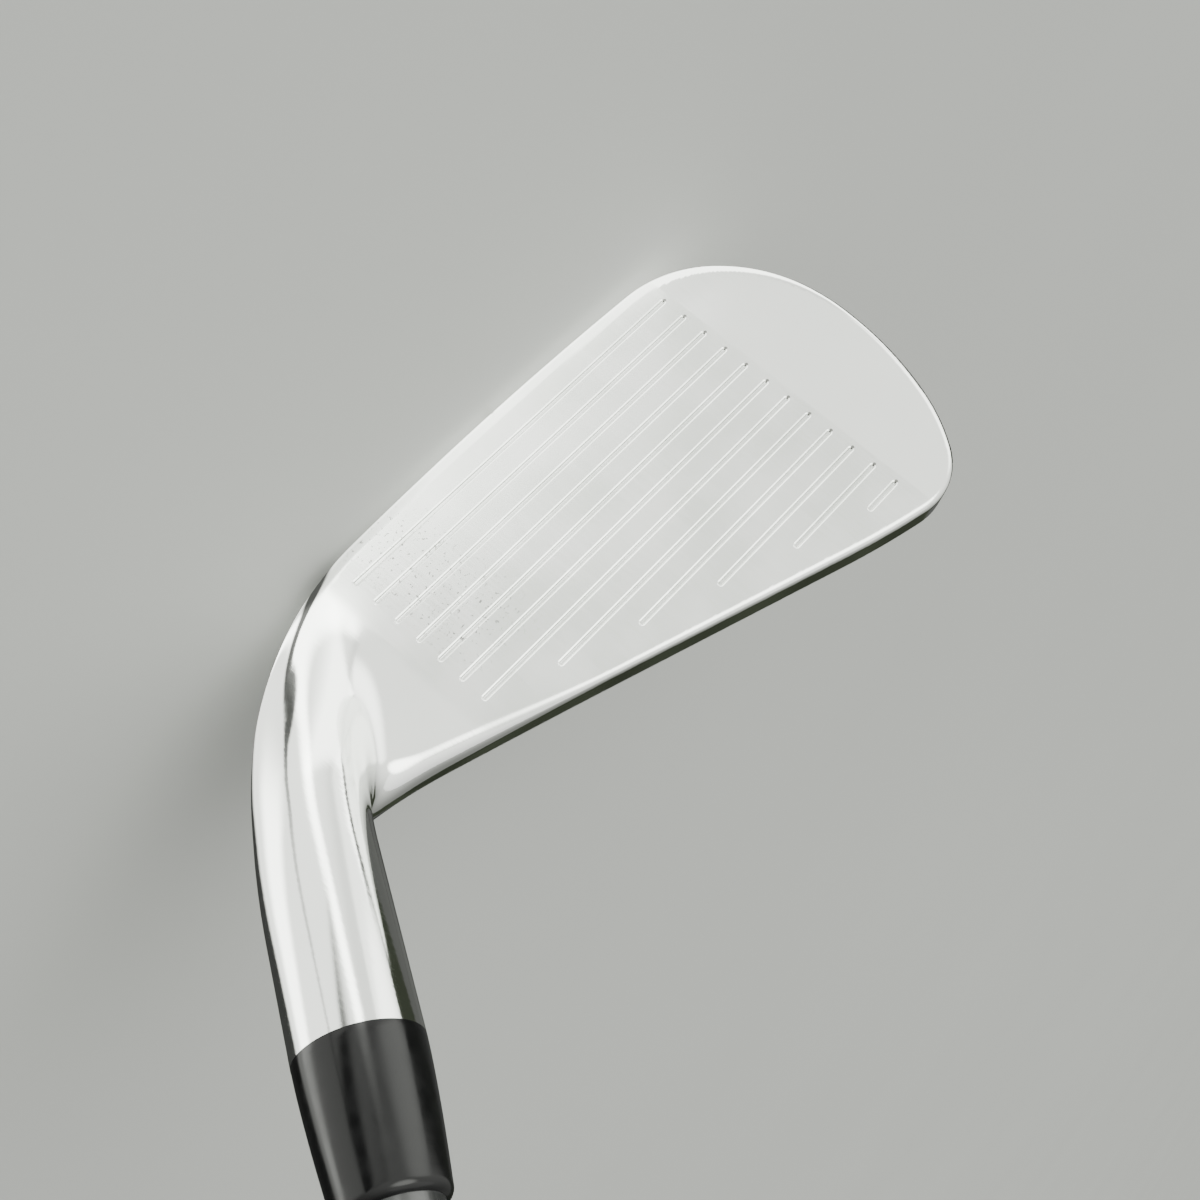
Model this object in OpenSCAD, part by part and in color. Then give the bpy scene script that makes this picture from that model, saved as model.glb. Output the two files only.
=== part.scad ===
// Long iron golf club, right-handed, standing in its address position.
// +Z is up and the sole rests on Z = 0. The face looks towards -Y. The toe points towards -X and
// the shaft leans towards +X. The origin is where the shaft's axis meets the ground.

/* [Club] */
// Length along the shaft's axis, from the ground to the top of the grip cap
club_length = 990; // [950:5:1010]
// Angle between the shaft and the ground
lie = 60.5; // [59:0.5:62]
// Angle by which the face leans back from the vertical
loft = 19; // [18:1:21]

/* [Face] */
// Distance along the ground from the shaft's axis to the toe ends of the grooves
toe_line = 65.85; // [65:0.05:67]
// Distance between neighbouring grooves
groove_pitch = 3.5; // [3.3:0.1:3.6]
// Length of a full groove
groove_length = 55.5; // [50:0.5:56]
// Width of a groove
groove_width = 0.8; // [0.6:0.1:0.9]
// Depth of a groove
groove_depth = 0.4; // [0.3:0.1:0.5]
// Height of the lowest groove above the leading edge's radius, along the face
first_groove_rise = 3.15; // [3:0.05:3.5]
// Grooves that run the full length; the rest shorten along the top line
full_grooves = 7; // [6:1:8]
// All grooves
groove_count = 12; // [10:1:12]

/* [Blade] */
// Radius of the leading edge
edge_radius = 2; // [1.8:0.1:2.2]
// Height of the leading edge's radius above the ground
edge_rise = 0.42; // [0.3:0.02:0.6]
// How far the leading edge stands behind the front of the hosel
face_offset = 4.1; // [3:0.1:5]
// Thickness of the blade behind the face
blade_thickness = 5.5; // [5:0.1:6]
// Radius of the sole from front to back, under the middle of the head
sole_camber = 5; // [4:0.5:6]

/* [Hosel] */
// Outside diameter of the hosel
hosel_od = 13.3; // [13:0.1:13.6]
// Distance from the origin to the hosel's end, along the shaft's axis
hosel_length = 55.3; // [54:0.1:58]
// Depth of the hosel's bore
bore_depth = 34; // [30:1:36]

/* [Ferrule] */
// Length of the ferrule
ferrule_length = 16; // [14:1:24]
// Outside diameter of the ferrule's upper end
ferrule_end_od = 11.3; // [11:0.1:11.8]

/* [Shaft] */
// Outside diameter of the shaft's tip
tip_od = 9.4; // [9:0.1:9.4]
// Outside diameter of the shaft's butt
butt_od = 15.2; // [14.7:0.1:15.5]
// Length of the parallel part of the tip
tip_parallel = 110; // [90:5:150]
// Length of the parallel part of the butt
butt_parallel = 150; // [100:10:200]

/* [Grip] */
// Length of the grip from its mouth to the top of its cap
grip_length = 267; // [255:1:275]
// Outside diameter of the grip at its mouth
grip_mouth_od = 18.6; // [18.5:0.1:19.5]
// Outside diameter of the grip just below its cap
grip_butt_od = 25.5; // [24.5:0.1:26]
// Diameter of the cap
cap_od = 27.2; // [27:0.1:28]
// Thickness of the cap
cap_thickness = 5; // [4:0.5:6]
// Diameter of the vent hole through the cap
vent_d = 4; // [3:0.5:5]

/* [Hidden] */

// Facets of the hulls' rounded children, and of the exact round pieces
hull_fn = 24;
round_fn = 96;
// Thickness of a layer inside a hull
skin = 0.01;
// How far a cutting solid runs past the surface it cuts
past = 1;

// Radial thickness of the epoxy in the hosel, and of the tape under the grip
bond_gap = 0.15;
tape_thickness = 0.35;

hosel_r = hosel_od / 2;
bore_r = tip_od / 2 + bond_gap;
tip_start = hosel_length - bore_depth;
ferrule_end = hosel_length + ferrule_length;
cap_start = club_length - cap_thickness;
grip_mouth = club_length - grip_length;
butt_start = cap_start - butt_parallel;

// Inside radii of the hollow shaft, and the weight in its tip
tip_bore_r = 2.1;
butt_bore_r = butt_od / 2 - 1.3;
weight_length = 18;

// The leading edge's radius has its centre line here, seen from the toe
edge_y = face_offset + edge_radius - hosel_r;
edge_z = edge_radius + edge_rise;

// The toe end of the lowest groove is the origin of the face's own frame: x runs towards the heel,
// y up the face and z out of it
face_origin = [
    -toe_line,
    edge_y - edge_radius * cos(loft) + first_groove_rise * sin(loft),
    edge_z + edge_radius * sin(loft) + first_groove_rise * cos(loft)
];

// The blade's outline starts on the leading edge at the heel and goes round the toe to the top line.
// Each step is the radius of an arc and the angle through which it turns.
outline_start = [58, -4.23];
outline_heading = -3.41;
outline_arcs = [
    [520, 6.17],
    [17.54, 42.24],
    [24.73, 45],
    [42.6, 19.6],
    [27, 20],
    [9.6, 63.4],
    [130, 5.3]
];
top_line_length = 51;
// Further than the blade reaches from the lowest groove's toe end
blade_reach = 70;
degrees_per_step = 5;

// The rounded edges of the blade, as [depth behind the face, inset from the outline]. Towards the back
// the sole cuts them off this high above the ground.
blade_floor = 0.3;
blade_layers = [
    [0, 1.5],
    [0.2, 0.75],
    [0.7, 0.2],
    [1.5, 0],
    [blade_thickness - 1, 0.1],
    [blade_thickness - 0.3, 0.5],
    [blade_thickness, 1.2]
];

// Centres and radii of the round parts of the thick lower body: the middle of the sole, its trailing
// edge, and the ledge on the back
body_corners = [
    [[-67, 5, sole_camber + 1.3], sole_camber],
    [[-52, 4.5, sole_camber + 0.25], sole_camber],
    [[-36, 4.5, sole_camber], sole_camber],
    [[-20, 4.5, sole_camber + 0.3], sole_camber],
    [[-9, 4, sole_camber + 0.9], sole_camber],
    [[-79.2, 8, 14], 1.6],
    [[-78.6, 8.8, 10.5], 1.8],
    [[-77, 9.8, 7.2], 2],
    [[-73.5, 11.2, 4.8], 2],
    [[-67, 12.5, 3.3], 2],
    [[-58, 13, 2.9], 2],
    [[-32, 13, 2.8], 2],
    [[-12, 11.6, 3.3], 2],
    [[-2, 8.4, 6], 2.4],
    [[-77.5, 8.7, 17.5], 1.5],
    [[-50, 9.6, 16], 1.5],
    [[-20, 9.4, 14.5], 1.5],
    [[-3, 7.6, 15], 1.5]
];
// The lower body starts this far behind the face, and its front reaches up to this height
body_front = 2;
body_height = 17;

// Round parts of the heel, as a distance up the shaft's axis and a radius
heel_balls = [[17.5, 6.3], [13.5, 5.6]];
// The heel ends here on the shaft's axis, inside the hosel's cylinder, which starts a little lower
neck_end = 25;
neck_inset = 0.35;
hosel_start = 19.5;
// Centres and radii of the round parts where the heel joins the blade
heel_corners = [
    [[-10.5, edge_y + 0.1, edge_z + 0.35], edge_radius],
    [[-6, 3, 5.8], 4],
    [[-5, 7.5, 7.2], 3],
    [[-3.5, 6.5, 15.5], 2.3],
    [[-9, 8.3, 27.7], 2.3],
    [[-2, 7.4, 25.4], 2.2]
];

// Points along an arc that turns left from a heading, in steps of about degrees_per_step
function arc_steps(turn) = ceil(turn / degrees_per_step);
function arc_end(start, heading, arc, turned) = [
    start[0] - arc[0] * (sin(heading + turned) - sin(heading)),
    start[1] + arc[0] * (cos(heading) - cos(heading + turned))
];
function arc_points(start, heading, arc) = [
    for (i = [0 : arc_steps(arc[1]) - 1]) arc_end(start, heading, arc, arc[1] * i / arc_steps(arc[1]))
];
// The whole outline from arc number i onwards, closed by the straight top line and the heel
function outline(start, heading, i) =
    i == len(outline_arcs)
    ? [start, start + top_line_length * [-cos(heading), sin(heading)]]
    : concat(
        arc_points(start, heading, outline_arcs[i]),
        outline(arc_end(start, heading, outline_arcs[i], outline_arcs[i][1]), heading + outline_arcs[i][1], i + 1)
    );

// Length of groove number i, counted from the leading edge
first_short = 46.3;
last_short = 4.9;
short_grooves = groove_count - full_grooves;
function groove_run(i) =
    i < full_grooves
    ? groove_length
    : first_short - (i - full_grooves) * (first_short - last_short) / (short_grooves - 1);

// A point on the shaft's axis
function on_axis(s) = [s * cos(lie), 0, s * sin(lie)];

// Puts children that are drawn along +Z onto the shaft's axis
module along_shaft() {
    rotate([0, 90 - lie, 0]) children();
}

// Puts children that are drawn in the face's frame onto the face
module on_face() {
    translate(face_origin) rotate([90 - loft, 0, 0]) children();
}

module blade_plate() {
    on_face()
        hull()
            for (layer = blade_layers)
                translate([0, 0, -layer[0] - skin / 2])
                    linear_extrude(height = skin)
                        above_floor(layer[0])
                            offset(delta = -layer[1])
                                polygon(outline(outline_start, outline_heading, 0));
}

// Keeps what is above the floor of the blade, in a plane this deep behind the face
module above_floor(depth) {
    lowest = (blade_floor - face_origin[2] + depth * sin(loft)) / cos(loft);
    intersection() {
        children();
        translate([-blade_reach, lowest]) square(2 * blade_reach);
    }
}

// The muscle and sole behind the lower half of the face
module lower_body() {
    hull() {
        on_face()
            translate([0, 0, -body_front])
                linear_extrude(height = skin)
                    intersection() {
                        polygon(outline(outline_start, outline_heading, 0));
                        translate([-blade_reach, body_height - 2 * blade_reach]) square(2 * blade_reach);
                    }
        for (corner = body_corners)
            translate(corner[0]) sphere(r = corner[1], $fn = hull_fn);
    }
}

// The heel, from the blade's end to the round neck
module heel() {
    hull() {
        along_shaft()
            translate([0, 0, neck_end]) cylinder(r = hosel_r - neck_inset, h = skin, $fn = 2 * hull_fn);
        for (ball = heel_balls)
            translate(on_axis(ball[0])) sphere(r = ball[1], $fn = 2 * hull_fn);
        for (corner = heel_corners)
            translate(corner[0]) sphere(r = corner[1], $fn = hull_fn);
    }
}

module grooves() {
    on_face()
        for (i = [0 : groove_count - 1])
            translate([0, i * groove_pitch, -groove_depth])
                linear_extrude(height = groove_depth + past) {
                    translate([0, -groove_width / 2]) square([groove_run(i), groove_width]);
                    circle(d = groove_width, $fn = hull_fn);
                    translate([groove_run(i), 0]) circle(d = groove_width, $fn = hull_fn);
                }
}

module iron_head() {
    color("silver")
        difference() {
            union() {
                blade_plate();
                lower_body();
                heel();
                along_shaft()
                    translate([0, 0, hosel_start])
                        cylinder(r = hosel_r, h = hosel_length - hosel_start, $fn = round_fn);
            }
            along_shaft()
                translate([0, 0, tip_start]) cylinder(r = bore_r, h = bore_depth + past, $fn = round_fn);
            grooves();
        }
}

// A tube around the shaft's axis, with its radii at both ends
module tube(from, to, outer_from, outer_to, inner_from, inner_to) {
    along_shaft()
        rotate_extrude($fn = round_fn)
            polygon([[inner_from, from], [outer_from, from], [outer_to, to], [inner_to, to]]);
}

// Radius of the shaft's outside at a distance s up its axis
taper_start = tip_start + tip_parallel;
function shaft_r(s) =
    s < taper_start ? tip_od / 2
    : s > butt_start ? butt_od / 2
    : tip_od / 2 + (butt_od - tip_od) / 2 * (s - taper_start) / (butt_start - taper_start);

module hosel_bond() {
    color("tan") tube(tip_start, hosel_length, bore_r, bore_r, tip_od / 2, tip_od / 2);
}

module tip_weight() {
    color("goldenrod")
        along_shaft()
            translate([0, 0, tip_start]) cylinder(r = tip_bore_r, h = weight_length, $fn = round_fn);
}

// The lower end meets the hosel at its own diameter, and both ends have a small round lip
ferrule_lip = 0.6;
module ferrule() {
    color([0.05, 0.05, 0.05])
        along_shaft()
            rotate_extrude($fn = round_fn)
                polygon([
                    [tip_od / 2, hosel_length],
                    [hosel_r - ferrule_lip / 3, hosel_length],
                    [hosel_r, hosel_length + ferrule_lip],
                    [ferrule_end_od / 2, ferrule_end - ferrule_lip],
                    [ferrule_end_od / 2 - ferrule_lip, ferrule_end],
                    [tip_od / 2, ferrule_end]
                ]);
}

module shaft() {
    color([0.2, 0.2, 0.21])
        along_shaft()
            rotate_extrude($fn = round_fn)
                polygon([
                    [tip_bore_r, tip_start],
                    [tip_od / 2, tip_start],
                    [tip_od / 2, taper_start],
                    [butt_od / 2, butt_start],
                    [butt_od / 2, cap_start],
                    [butt_bore_r, cap_start],
                    [butt_bore_r, butt_start],
                    [tip_bore_r, taper_start]
                ]);
}

// The tape and the grip follow the shaft's taper, which ends inside them
module grip_tape() {
    color("beige")
        along_shaft()
            rotate_extrude($fn = round_fn)
                polygon([
                    [shaft_r(grip_mouth), grip_mouth],
                    [shaft_r(grip_mouth) + tape_thickness, grip_mouth],
                    [butt_od / 2 + tape_thickness, butt_start],
                    [butt_od / 2 + tape_thickness, cap_start],
                    [butt_od / 2, cap_start],
                    [butt_od / 2, butt_start]
                ]);
}

module grip_sleeve() {
    color([0.1, 0.1, 0.1])
        along_shaft()
            rotate_extrude($fn = round_fn)
                polygon([
                    [shaft_r(grip_mouth) + tape_thickness, grip_mouth],
                    [grip_mouth_od / 2, grip_mouth],
                    [grip_butt_od / 2, cap_start],
                    [butt_od / 2 + tape_thickness, cap_start],
                    [butt_od / 2 + tape_thickness, butt_start]
                ]);
}

// The cap closes the grip with a low dome and leaves the vent open
cap_edge = 1.2;
module grip_cap() {
    color([0.12, 0.12, 0.12])
        along_shaft()
            rotate_extrude($fn = round_fn)
                polygon([
                    [vent_d / 2, cap_start],
                    [cap_od / 2 - cap_edge / 2, cap_start],
                    [cap_od / 2, cap_start + cap_edge],
                    [cap_od / 2, club_length - 2 * cap_edge],
                    [cap_od / 2 - cap_edge, club_length - cap_edge / 2],
                    [cap_od / 2 - 3 * cap_edge, club_length],
                    [vent_d / 2, club_length]
                ]);
}

iron_head();
hosel_bond();
tip_weight();
ferrule();
shaft();
grip_tape();
grip_sleeve();
grip_cap();
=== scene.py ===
import math

import bmesh
import bpy
import numpy as np
from mathutils import Matrix, Vector


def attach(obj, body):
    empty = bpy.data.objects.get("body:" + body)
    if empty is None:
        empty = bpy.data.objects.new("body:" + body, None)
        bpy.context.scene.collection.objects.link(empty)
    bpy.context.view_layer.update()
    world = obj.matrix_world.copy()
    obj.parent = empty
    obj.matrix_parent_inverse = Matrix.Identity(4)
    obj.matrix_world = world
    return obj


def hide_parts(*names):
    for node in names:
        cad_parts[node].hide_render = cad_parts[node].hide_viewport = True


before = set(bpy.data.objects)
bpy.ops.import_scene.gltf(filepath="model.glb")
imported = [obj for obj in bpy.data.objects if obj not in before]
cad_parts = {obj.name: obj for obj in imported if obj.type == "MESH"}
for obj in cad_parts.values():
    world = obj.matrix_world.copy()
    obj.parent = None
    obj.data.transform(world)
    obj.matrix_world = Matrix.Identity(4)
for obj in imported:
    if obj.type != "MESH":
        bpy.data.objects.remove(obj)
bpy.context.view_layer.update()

MM = 0.001

# ---------------------------------------------------------------- the head's shape, in millimetres
LIE = math.radians(60.5)
LOFT = math.radians(19)
TAN_LOFT = math.tan(LOFT)
# The toe end of the lowest groove, in the row frame. It is the origin of the face's own frame:
# u runs towards the toe, v up the face and n out of it.
FACE_ORIGIN = np.array([-65.85, -1.435, 6.05])
FACE_AXES = np.array([
    [-1, 0, 0],
    [0, math.sin(LOFT), math.cos(LOFT)],
    [0, -math.cos(LOFT), math.sin(LOFT)],
])
SHAFT_AXIS = np.array([math.cos(LIE), 0, math.sin(LIE)])
HEEL_SIDE = np.array([math.sin(LIE), 0, -math.cos(LIE)])
Y_AXIS = np.array([0, 1, 0])

# The blade's outline starts at the leading edge's lowest point and goes round the toe to the top line.
# Each step is the radius of an arc and the angle through which it turns.
OUTLINE_START = (-27.07, -5.15)
OUTLINE_ARCS = [(520, 2.76), (17.54, 42.24), (24.73, 45), (42.6, 19.6), (27, 20), (9.6, 63.4), (130, 5.3)]
# The heel's curve in the XZ plane, from the lowest point of the leading edge to the hosel's outer side
HEEL_START = (-38.78, 0.53)
HEEL_ARCS = [(552, 2.6), (36.9, 44.9), (110.5, 13)]

# The sole is cambered front to back: its lowest line, its front edge, the camber's radius and its lift
SOLE_LOW_Y = 4.5
SOLE_EDGE_Y = -1.2
SOLE_CAMBER = 30.65
SOLE_LIFT = 0.06
SOLE_GAP = 0.045
EDGE_DEPTH = 2.0
MOST_SLOPE = 0.6

BLADE_THICKNESS = 5.5
BACK_FILLET_R = 6
BACK_EDGE_R = 1.6
BACK_EDGE_STEP = 0.4
FRONT_EDGE_R = 1.0
EDGE_R_STEP = 0.5
# The top line's front edge gets rounder towards the hosel, between these distances from the grooves' toe ends
ROUNDER_EDGE = 2.2
ROUNDER_EDGE_SPAN = (42, 70)

# The muscle's rear face: farthest back at MUSCLE_X, pulled in beyond MUSCLE_HEEL_X, and leaning forward
MUSCLE_Y = 15.0
MUSCLE_X = -42
MUSCLE_BEND = 0.0016
MUSCLE_HEEL_X = -14
MUSCLE_HEEL_BEND = 0.02
MUSCLE_FOOT_Z = 3
MUSCLE_LEAN_Y = 0.96
MUSCLE_LEAN_Z = 0.28
# The ledge on top of the muscle falls towards the heel and to the rear
LEDGE_X = -20
LEDGE_Y = 10
LEDGE_Z = 16.2
LEDGE_FALL = 0.045
LEDGE_LEAN_Z = 0.8
LEDGE_LEAN_Y = 0.6
LEDGE_EDGE_R = 2.5

HOSEL_R = 6.65
HOSEL_END = 55.3
HOSEL_SPARE = 1.5
# Over its lowest stretch the neck gets thinner and wider, and moves back
NECK_LENGTH = 34
NECK_THINNER = 2.8
NECK_WIDER = 7
NECK_FLATTER = 0.55
NECK_BACK = 1.25
NECK_SET_BACK = 2.5
NECK_SET_END = 27
NECK_SET_RUN = 22
# It leaves the face flat as far as the grooves' ends, and rises from there
FACE_CLEAR_U = 74
FACE_CLEAR_BEND = 0.013
# How wide the neck flows into the blade: at the crotch, and how much less at the face
FLOW_WIDTH = 12
FLOW_LESS = 3.8
HEEL_EDGE_R = 2.0

# Where each gradual change starts and ends: by the outline's normal, or by a distance in millimetres
SOLE_NORMAL = (-1, -0.2)
TOP_NORMAL = (0.2, 0.8)
SOLE_SLANT_V = (4, 30)
HEEL_CAMBER_X = (-5, 14)
HEEL_SLANT_S = (2, 20)
HEEL_SLANT_N = (-7, -3)
HEEL_ROUND_S = (0, 32)
NEAR_FACE_N = (-4, 0)


def smooth(value, low, high):
    """0 below low, 1 above high and a smooth step between them."""
    t = np.clip((value - low) / (high - low), 0, 1)
    return t * t * (3 - 2 * t)


def corner(a, b, r, k=0.0):
    """The intersection of two surfaces, with an edge of radius r. k is the cosine between their normals."""
    qa = a + r
    qb = b + r
    wa = qa - k * qb
    wb = qb - k * qa
    square = np.maximum((qa * qa + qb * qb - 2 * k * qa * qb) / (1 - k * k), 1e-12)
    arc = np.sqrt(square) - r
    return np.where((wa > 0) & (wb > 0), arc, np.maximum(a, b))


def fillet(a, b, r):
    """The union of two surfaces, with a hollow fillet of radius r between them."""
    qa = np.maximum(r - a, 0)
    qb = np.maximum(r - b, 0)
    return np.maximum(r, np.minimum(a, b)) - np.sqrt(qa * qa + qb * qb)


def blend(a, b, width):
    """The union of two surfaces that flow into each other where their distances differ by less than width."""
    share = np.maximum(width - np.abs(a - b), 0) / width
    return np.minimum(a, b) - share ** 3 * width / 6


def chain(start, heading, arcs):
    """A curve that turns left: its arcs, each with centre, radius and two headings, and its last line."""
    sectors = []
    u, v = start
    for radius, turn in arcs:
        a = math.radians(heading)
        b = math.radians(heading + turn)
        centre = (u - radius * math.sin(a), v + radius * math.cos(a))
        sectors.append((centre[0], centre[1], radius, heading, heading + turn))
        u = centre[0] + radius * math.sin(b)
        v = centre[1] - radius * math.cos(b)
        heading += turn
    return sectors, (u, v, math.radians(heading))


def chain_distance(curve, u, v):
    """Distance outside a convex chain, and the v part of its normal."""
    sectors, line = curve
    best = np.full(np.shape(u), -1e3)
    normal = np.zeros(np.shape(u))
    for cu, cv, radius, first, last in sectors:
        du = u - cu
        dv = v - cv
        length = np.maximum(np.hypot(du, dv), 1e-9)
        heading = (np.degrees(np.arctan2(du, -dv)) + 90) % 360 - 90
        value = np.where((heading >= first - 0.01) & (heading <= last + 0.01), length - radius, -1e3)
        normal = np.where(value > best, dv / length, normal)
        best = np.maximum(best, value)
    u0, v0, heading = line
    value = (u - u0) * math.sin(heading) - (v - v0) * math.cos(heading)
    normal = np.where(value > best, -math.cos(heading), normal)
    return np.maximum(best, value), normal


OUTLINE = chain(OUTLINE_START, 0, OUTLINE_ARCS)
HEEL = chain(HEEL_START, 0, HEEL_ARCS)


def camber(y):
    """How far the sole rises above the leading edge's lowest line, and its slope."""
    rise = ((y - SOLE_LOW_Y) ** 2 - (SOLE_EDGE_Y - SOLE_LOW_Y) ** 2) / (2 * SOLE_CAMBER) + SOLE_LIFT
    return rise, (y - SOLE_LOW_Y) / SOLE_CAMBER


def blade_wall(u, v, n, y):
    """The blade's outer wall: it runs straight back along the sole and square to the face on top."""
    low = 1 - smooth(v, *SOLE_SLANT_V)
    rise, slope = camber(y)
    distance, nv = chain_distance(OUTLINE, u, v + low * ((n + EDGE_DEPTH) * TAN_LOFT - rise / math.cos(LOFT)))
    along_n = low * np.minimum(TAN_LOFT + slope, MOST_SLOPE)
    along_v = 1 - low * slope * TAN_LOFT
    length = np.sqrt(1 - nv ** 2 + nv ** 2 * (along_v ** 2 + along_n ** 2))
    return distance / length, nv * along_n / length, nv


def heel_wall(x, y, z, s):
    """The outer wall from the sole to the hosel, which runs straight back, and its cosine with the face."""
    fade = 1 - smooth(x, *HEEL_CAMBER_X)
    rise, slope = camber(y)
    distance, nz = chain_distance(HEEL, x, z - fade * rise)
    cosine = np.clip(nz * (math.sin(LOFT) + slope * math.cos(LOFT)), -MOST_SLOPE, MOST_SLOPE)
    return distance, cosine * (1 - smooth(s, *HEEL_SLANT_S))


def back_wall(x, y, z, n):
    """The back: a thin blade above, and a muscle that carries the sole's width."""
    thin = -n - BLADE_THICKNESS
    towards_heel = np.maximum(x - MUSCLE_HEEL_X, 0)
    muscle_y = MUSCLE_Y - MUSCLE_BEND * (x - MUSCLE_X) ** 2 - MUSCLE_HEEL_BEND * towards_heel ** 2
    muscle = (y - muscle_y) * MUSCLE_LEAN_Y + (z - MUSCLE_FOOT_Z) * MUSCLE_LEAN_Z
    ledge_z = LEDGE_Z - LEDGE_FALL * (x - LEDGE_X)
    ledge = (z - ledge_z) * LEDGE_LEAN_Z + (y - LEDGE_Y) * LEDGE_LEAN_Y
    return fillet(thin, corner(muscle, ledge, LEDGE_EDGE_R), BACK_FILLET_R)


def blade_shape(x, y, z, u, v, n):
    """The blade between its face, its outer wall and its back, with rounded edges."""
    side, side_cos, nv = blade_wall(u, v, n, y)
    on_sole = 1 - smooth(nv, *SOLE_NORMAL)
    on_top = smooth(nv, *TOP_NORMAL)
    front_r = FRONT_EDGE_R + EDGE_R_STEP * on_sole + EDGE_R_STEP * (1 - on_top)
    front_r = front_r + ROUNDER_EDGE * smooth(-u, *ROUNDER_EDGE_SPAN) * on_top
    blade = corner(n, side, front_r, side_cos)
    return corner(blade, back_wall(x, y, z, n), BACK_EDGE_R + BACK_EDGE_STEP * on_sole)


def neck_shape(y, u, n, s, e):
    """The hosel, whose neck gets thinner, wider and flatter towards the sole."""
    low = np.clip((NECK_LENGTH - s) / NECK_LENGTH, 0, 1.1) ** 2
    back_set = smooth(NECK_SET_END - s, 0, NECK_SET_RUN)
    half = HOSEL_R - NECK_THINNER * low
    across = np.abs(y - NECK_BACK * low - NECK_SET_BACK * back_set) - half
    inner = (-e - HOSEL_R - NECK_WIDER * low) * (1 - NECK_FLATTER * np.minimum(low, 1))
    clear = FACE_CLEAR_BEND * np.maximum(u + FACE_CLEAR_U, 0) ** 2 * smooth(n, *NEAR_FACE_N)
    return corner(across, inner, half) + clear


def head_distance(p):
    """Distance outside the head's surface, without its grooves and bore."""
    x, y, z = p[:, 0], p[:, 1], p[:, 2]
    u, v, n = ((p - FACE_ORIGIN) @ FACE_AXES.T).T
    s = p @ SHAFT_AXIS
    e = p @ HEEL_SIDE
    # The blade ends inside the hosel
    blade = np.maximum(blade_shape(x, y, z, u, v, n), e)
    neck = neck_shape(y, u, n, s, e)
    heel, heel_cos = heel_wall(x, y, z, s)
    heel_r = HEEL_EDGE_R + (HOSEL_R - HEEL_EDGE_R) * smooth(s, *HEEL_ROUND_S)
    joined = blend(blade, neck, FLOW_WIDTH - FLOW_LESS * smooth(n, *NEAR_FACE_N))
    head = corner(joined, heel, heel_r, heel_cos * smooth(n, *HEEL_SLANT_N))
    # The hosel runs on past its end, where the cutting tool squares it, and the sole keeps off the ground
    return np.maximum(np.maximum(head, s - HOSEL_END - HOSEL_SPARE), SOLE_GAP - z)


# ---------------------------------------------------------------- the head's mesh
GRID_LOW = (-84.0, -8.2, -1.0)
GRID_HIGH = (36.0, 18.2, 53.0)
# The grid's coarse step, the fine steps in it, and how near the surface it is made fine, in coarse steps
COARSE = 2.0
FINE = 5
NEAR = 1.7
GRADIENT_STEP = 0.02
SETTLE_ROUNDS = 4
LEAST_RATE = 0.05
MOST_MOVE = 0.3


def sample(corner_low, step, counts):
    """The points of a grid, as an array of one row each."""
    axes = [corner_low[k] + step * np.arange(counts[k]) for k in range(3)]
    grid = np.meshgrid(*axes, indexing="ij")
    return np.stack([g.ravel() for g in grid], 1)


def head_grid():
    """The head's distance on a fine grid, worked out only near the surface."""
    blocks = [int(math.ceil((GRID_HIGH[k] - GRID_LOW[k]) / COARSE)) for k in range(3)]
    middle = [GRID_LOW[k] + COARSE / 2 for k in range(3)]
    rough = head_distance(sample(middle, COARSE, blocks)).reshape(blocks)
    near = np.abs(rough) < NEAR * COARSE
    fine = COARSE / FINE
    values = np.repeat(np.repeat(np.repeat(rough, FINE, 0), FINE, 1), FINE, 2)
    offsets = sample((0, 0, 0), fine, (FINE, FINE, FINE))
    corners = np.array(GRID_LOW) + COARSE * np.argwhere(near)
    points = (corners[:, None, :] + offsets[None]).reshape(-1, 3)
    found = head_distance(points).reshape(-1, FINE, FINE, FINE)
    view = values.reshape(blocks[0], FINE, blocks[1], FINE, blocks[2], FINE).transpose(0, 2, 4, 1, 3, 5)
    view[near] = found
    return values, fine


def gradient(points):
    """The direction in which the head's distance grows, with its rate."""
    parts = []
    for k in range(3):
        shift = np.zeros(3)
        shift[k] = GRADIENT_STEP
        parts.append((head_distance(points + shift) - head_distance(points - shift)) / (2 * GRADIENT_STEP))
    return np.stack(parts, 1)


def settle(points):
    """Moves points onto the head's surface."""
    for _ in range(SETTLE_ROUNDS):
        slope = gradient(points)
        rate = np.maximum((slope ** 2).sum(1), LEAST_RATE)
        move = (head_distance(points) / rate)[:, None] * slope
        points = points - np.clip(move, -MOST_MOVE, MOST_MOVE)
    return points


def edge_pair(axis, start, cells):
    """The same part of a grid twice, the second one step farther along an axis."""
    end = list(start)
    start[axis] = slice(0, cells[axis])
    end[axis] = slice(1, 1 + cells[axis])
    return tuple(start), tuple(end)


def cell_points(values, inside, cells):
    """The mean place of the surface in each cell that it crosses, and the number of each such cell."""
    total = np.zeros(cells)
    place = np.zeros(cells + [3])
    for axis in range(3):
        others = [k for k in range(3) if k != axis]
        for shift in ((0, 0), (0, 1), (1, 0), (1, 1)):
            part = [slice(0, n) for n in cells]
            for k, step in zip(others, shift):
                part[k] = slice(step, step + cells[k])
            start, end = edge_pair(axis, part, cells)
            cut = inside[start] != inside[end]
            drop = np.where(cut, values[start] - values[end], 1)
            place[..., axis] += np.where(cut, values[start] / drop, 0)
            total += cut
            for k, step in zip(others, shift):
                place[..., k] += cut * step
    used = total > 0
    number = np.full(cells, -1)
    number[used] = np.arange(used.sum())
    return place[used] / total[used][:, None] + np.argwhere(used), number


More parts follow.
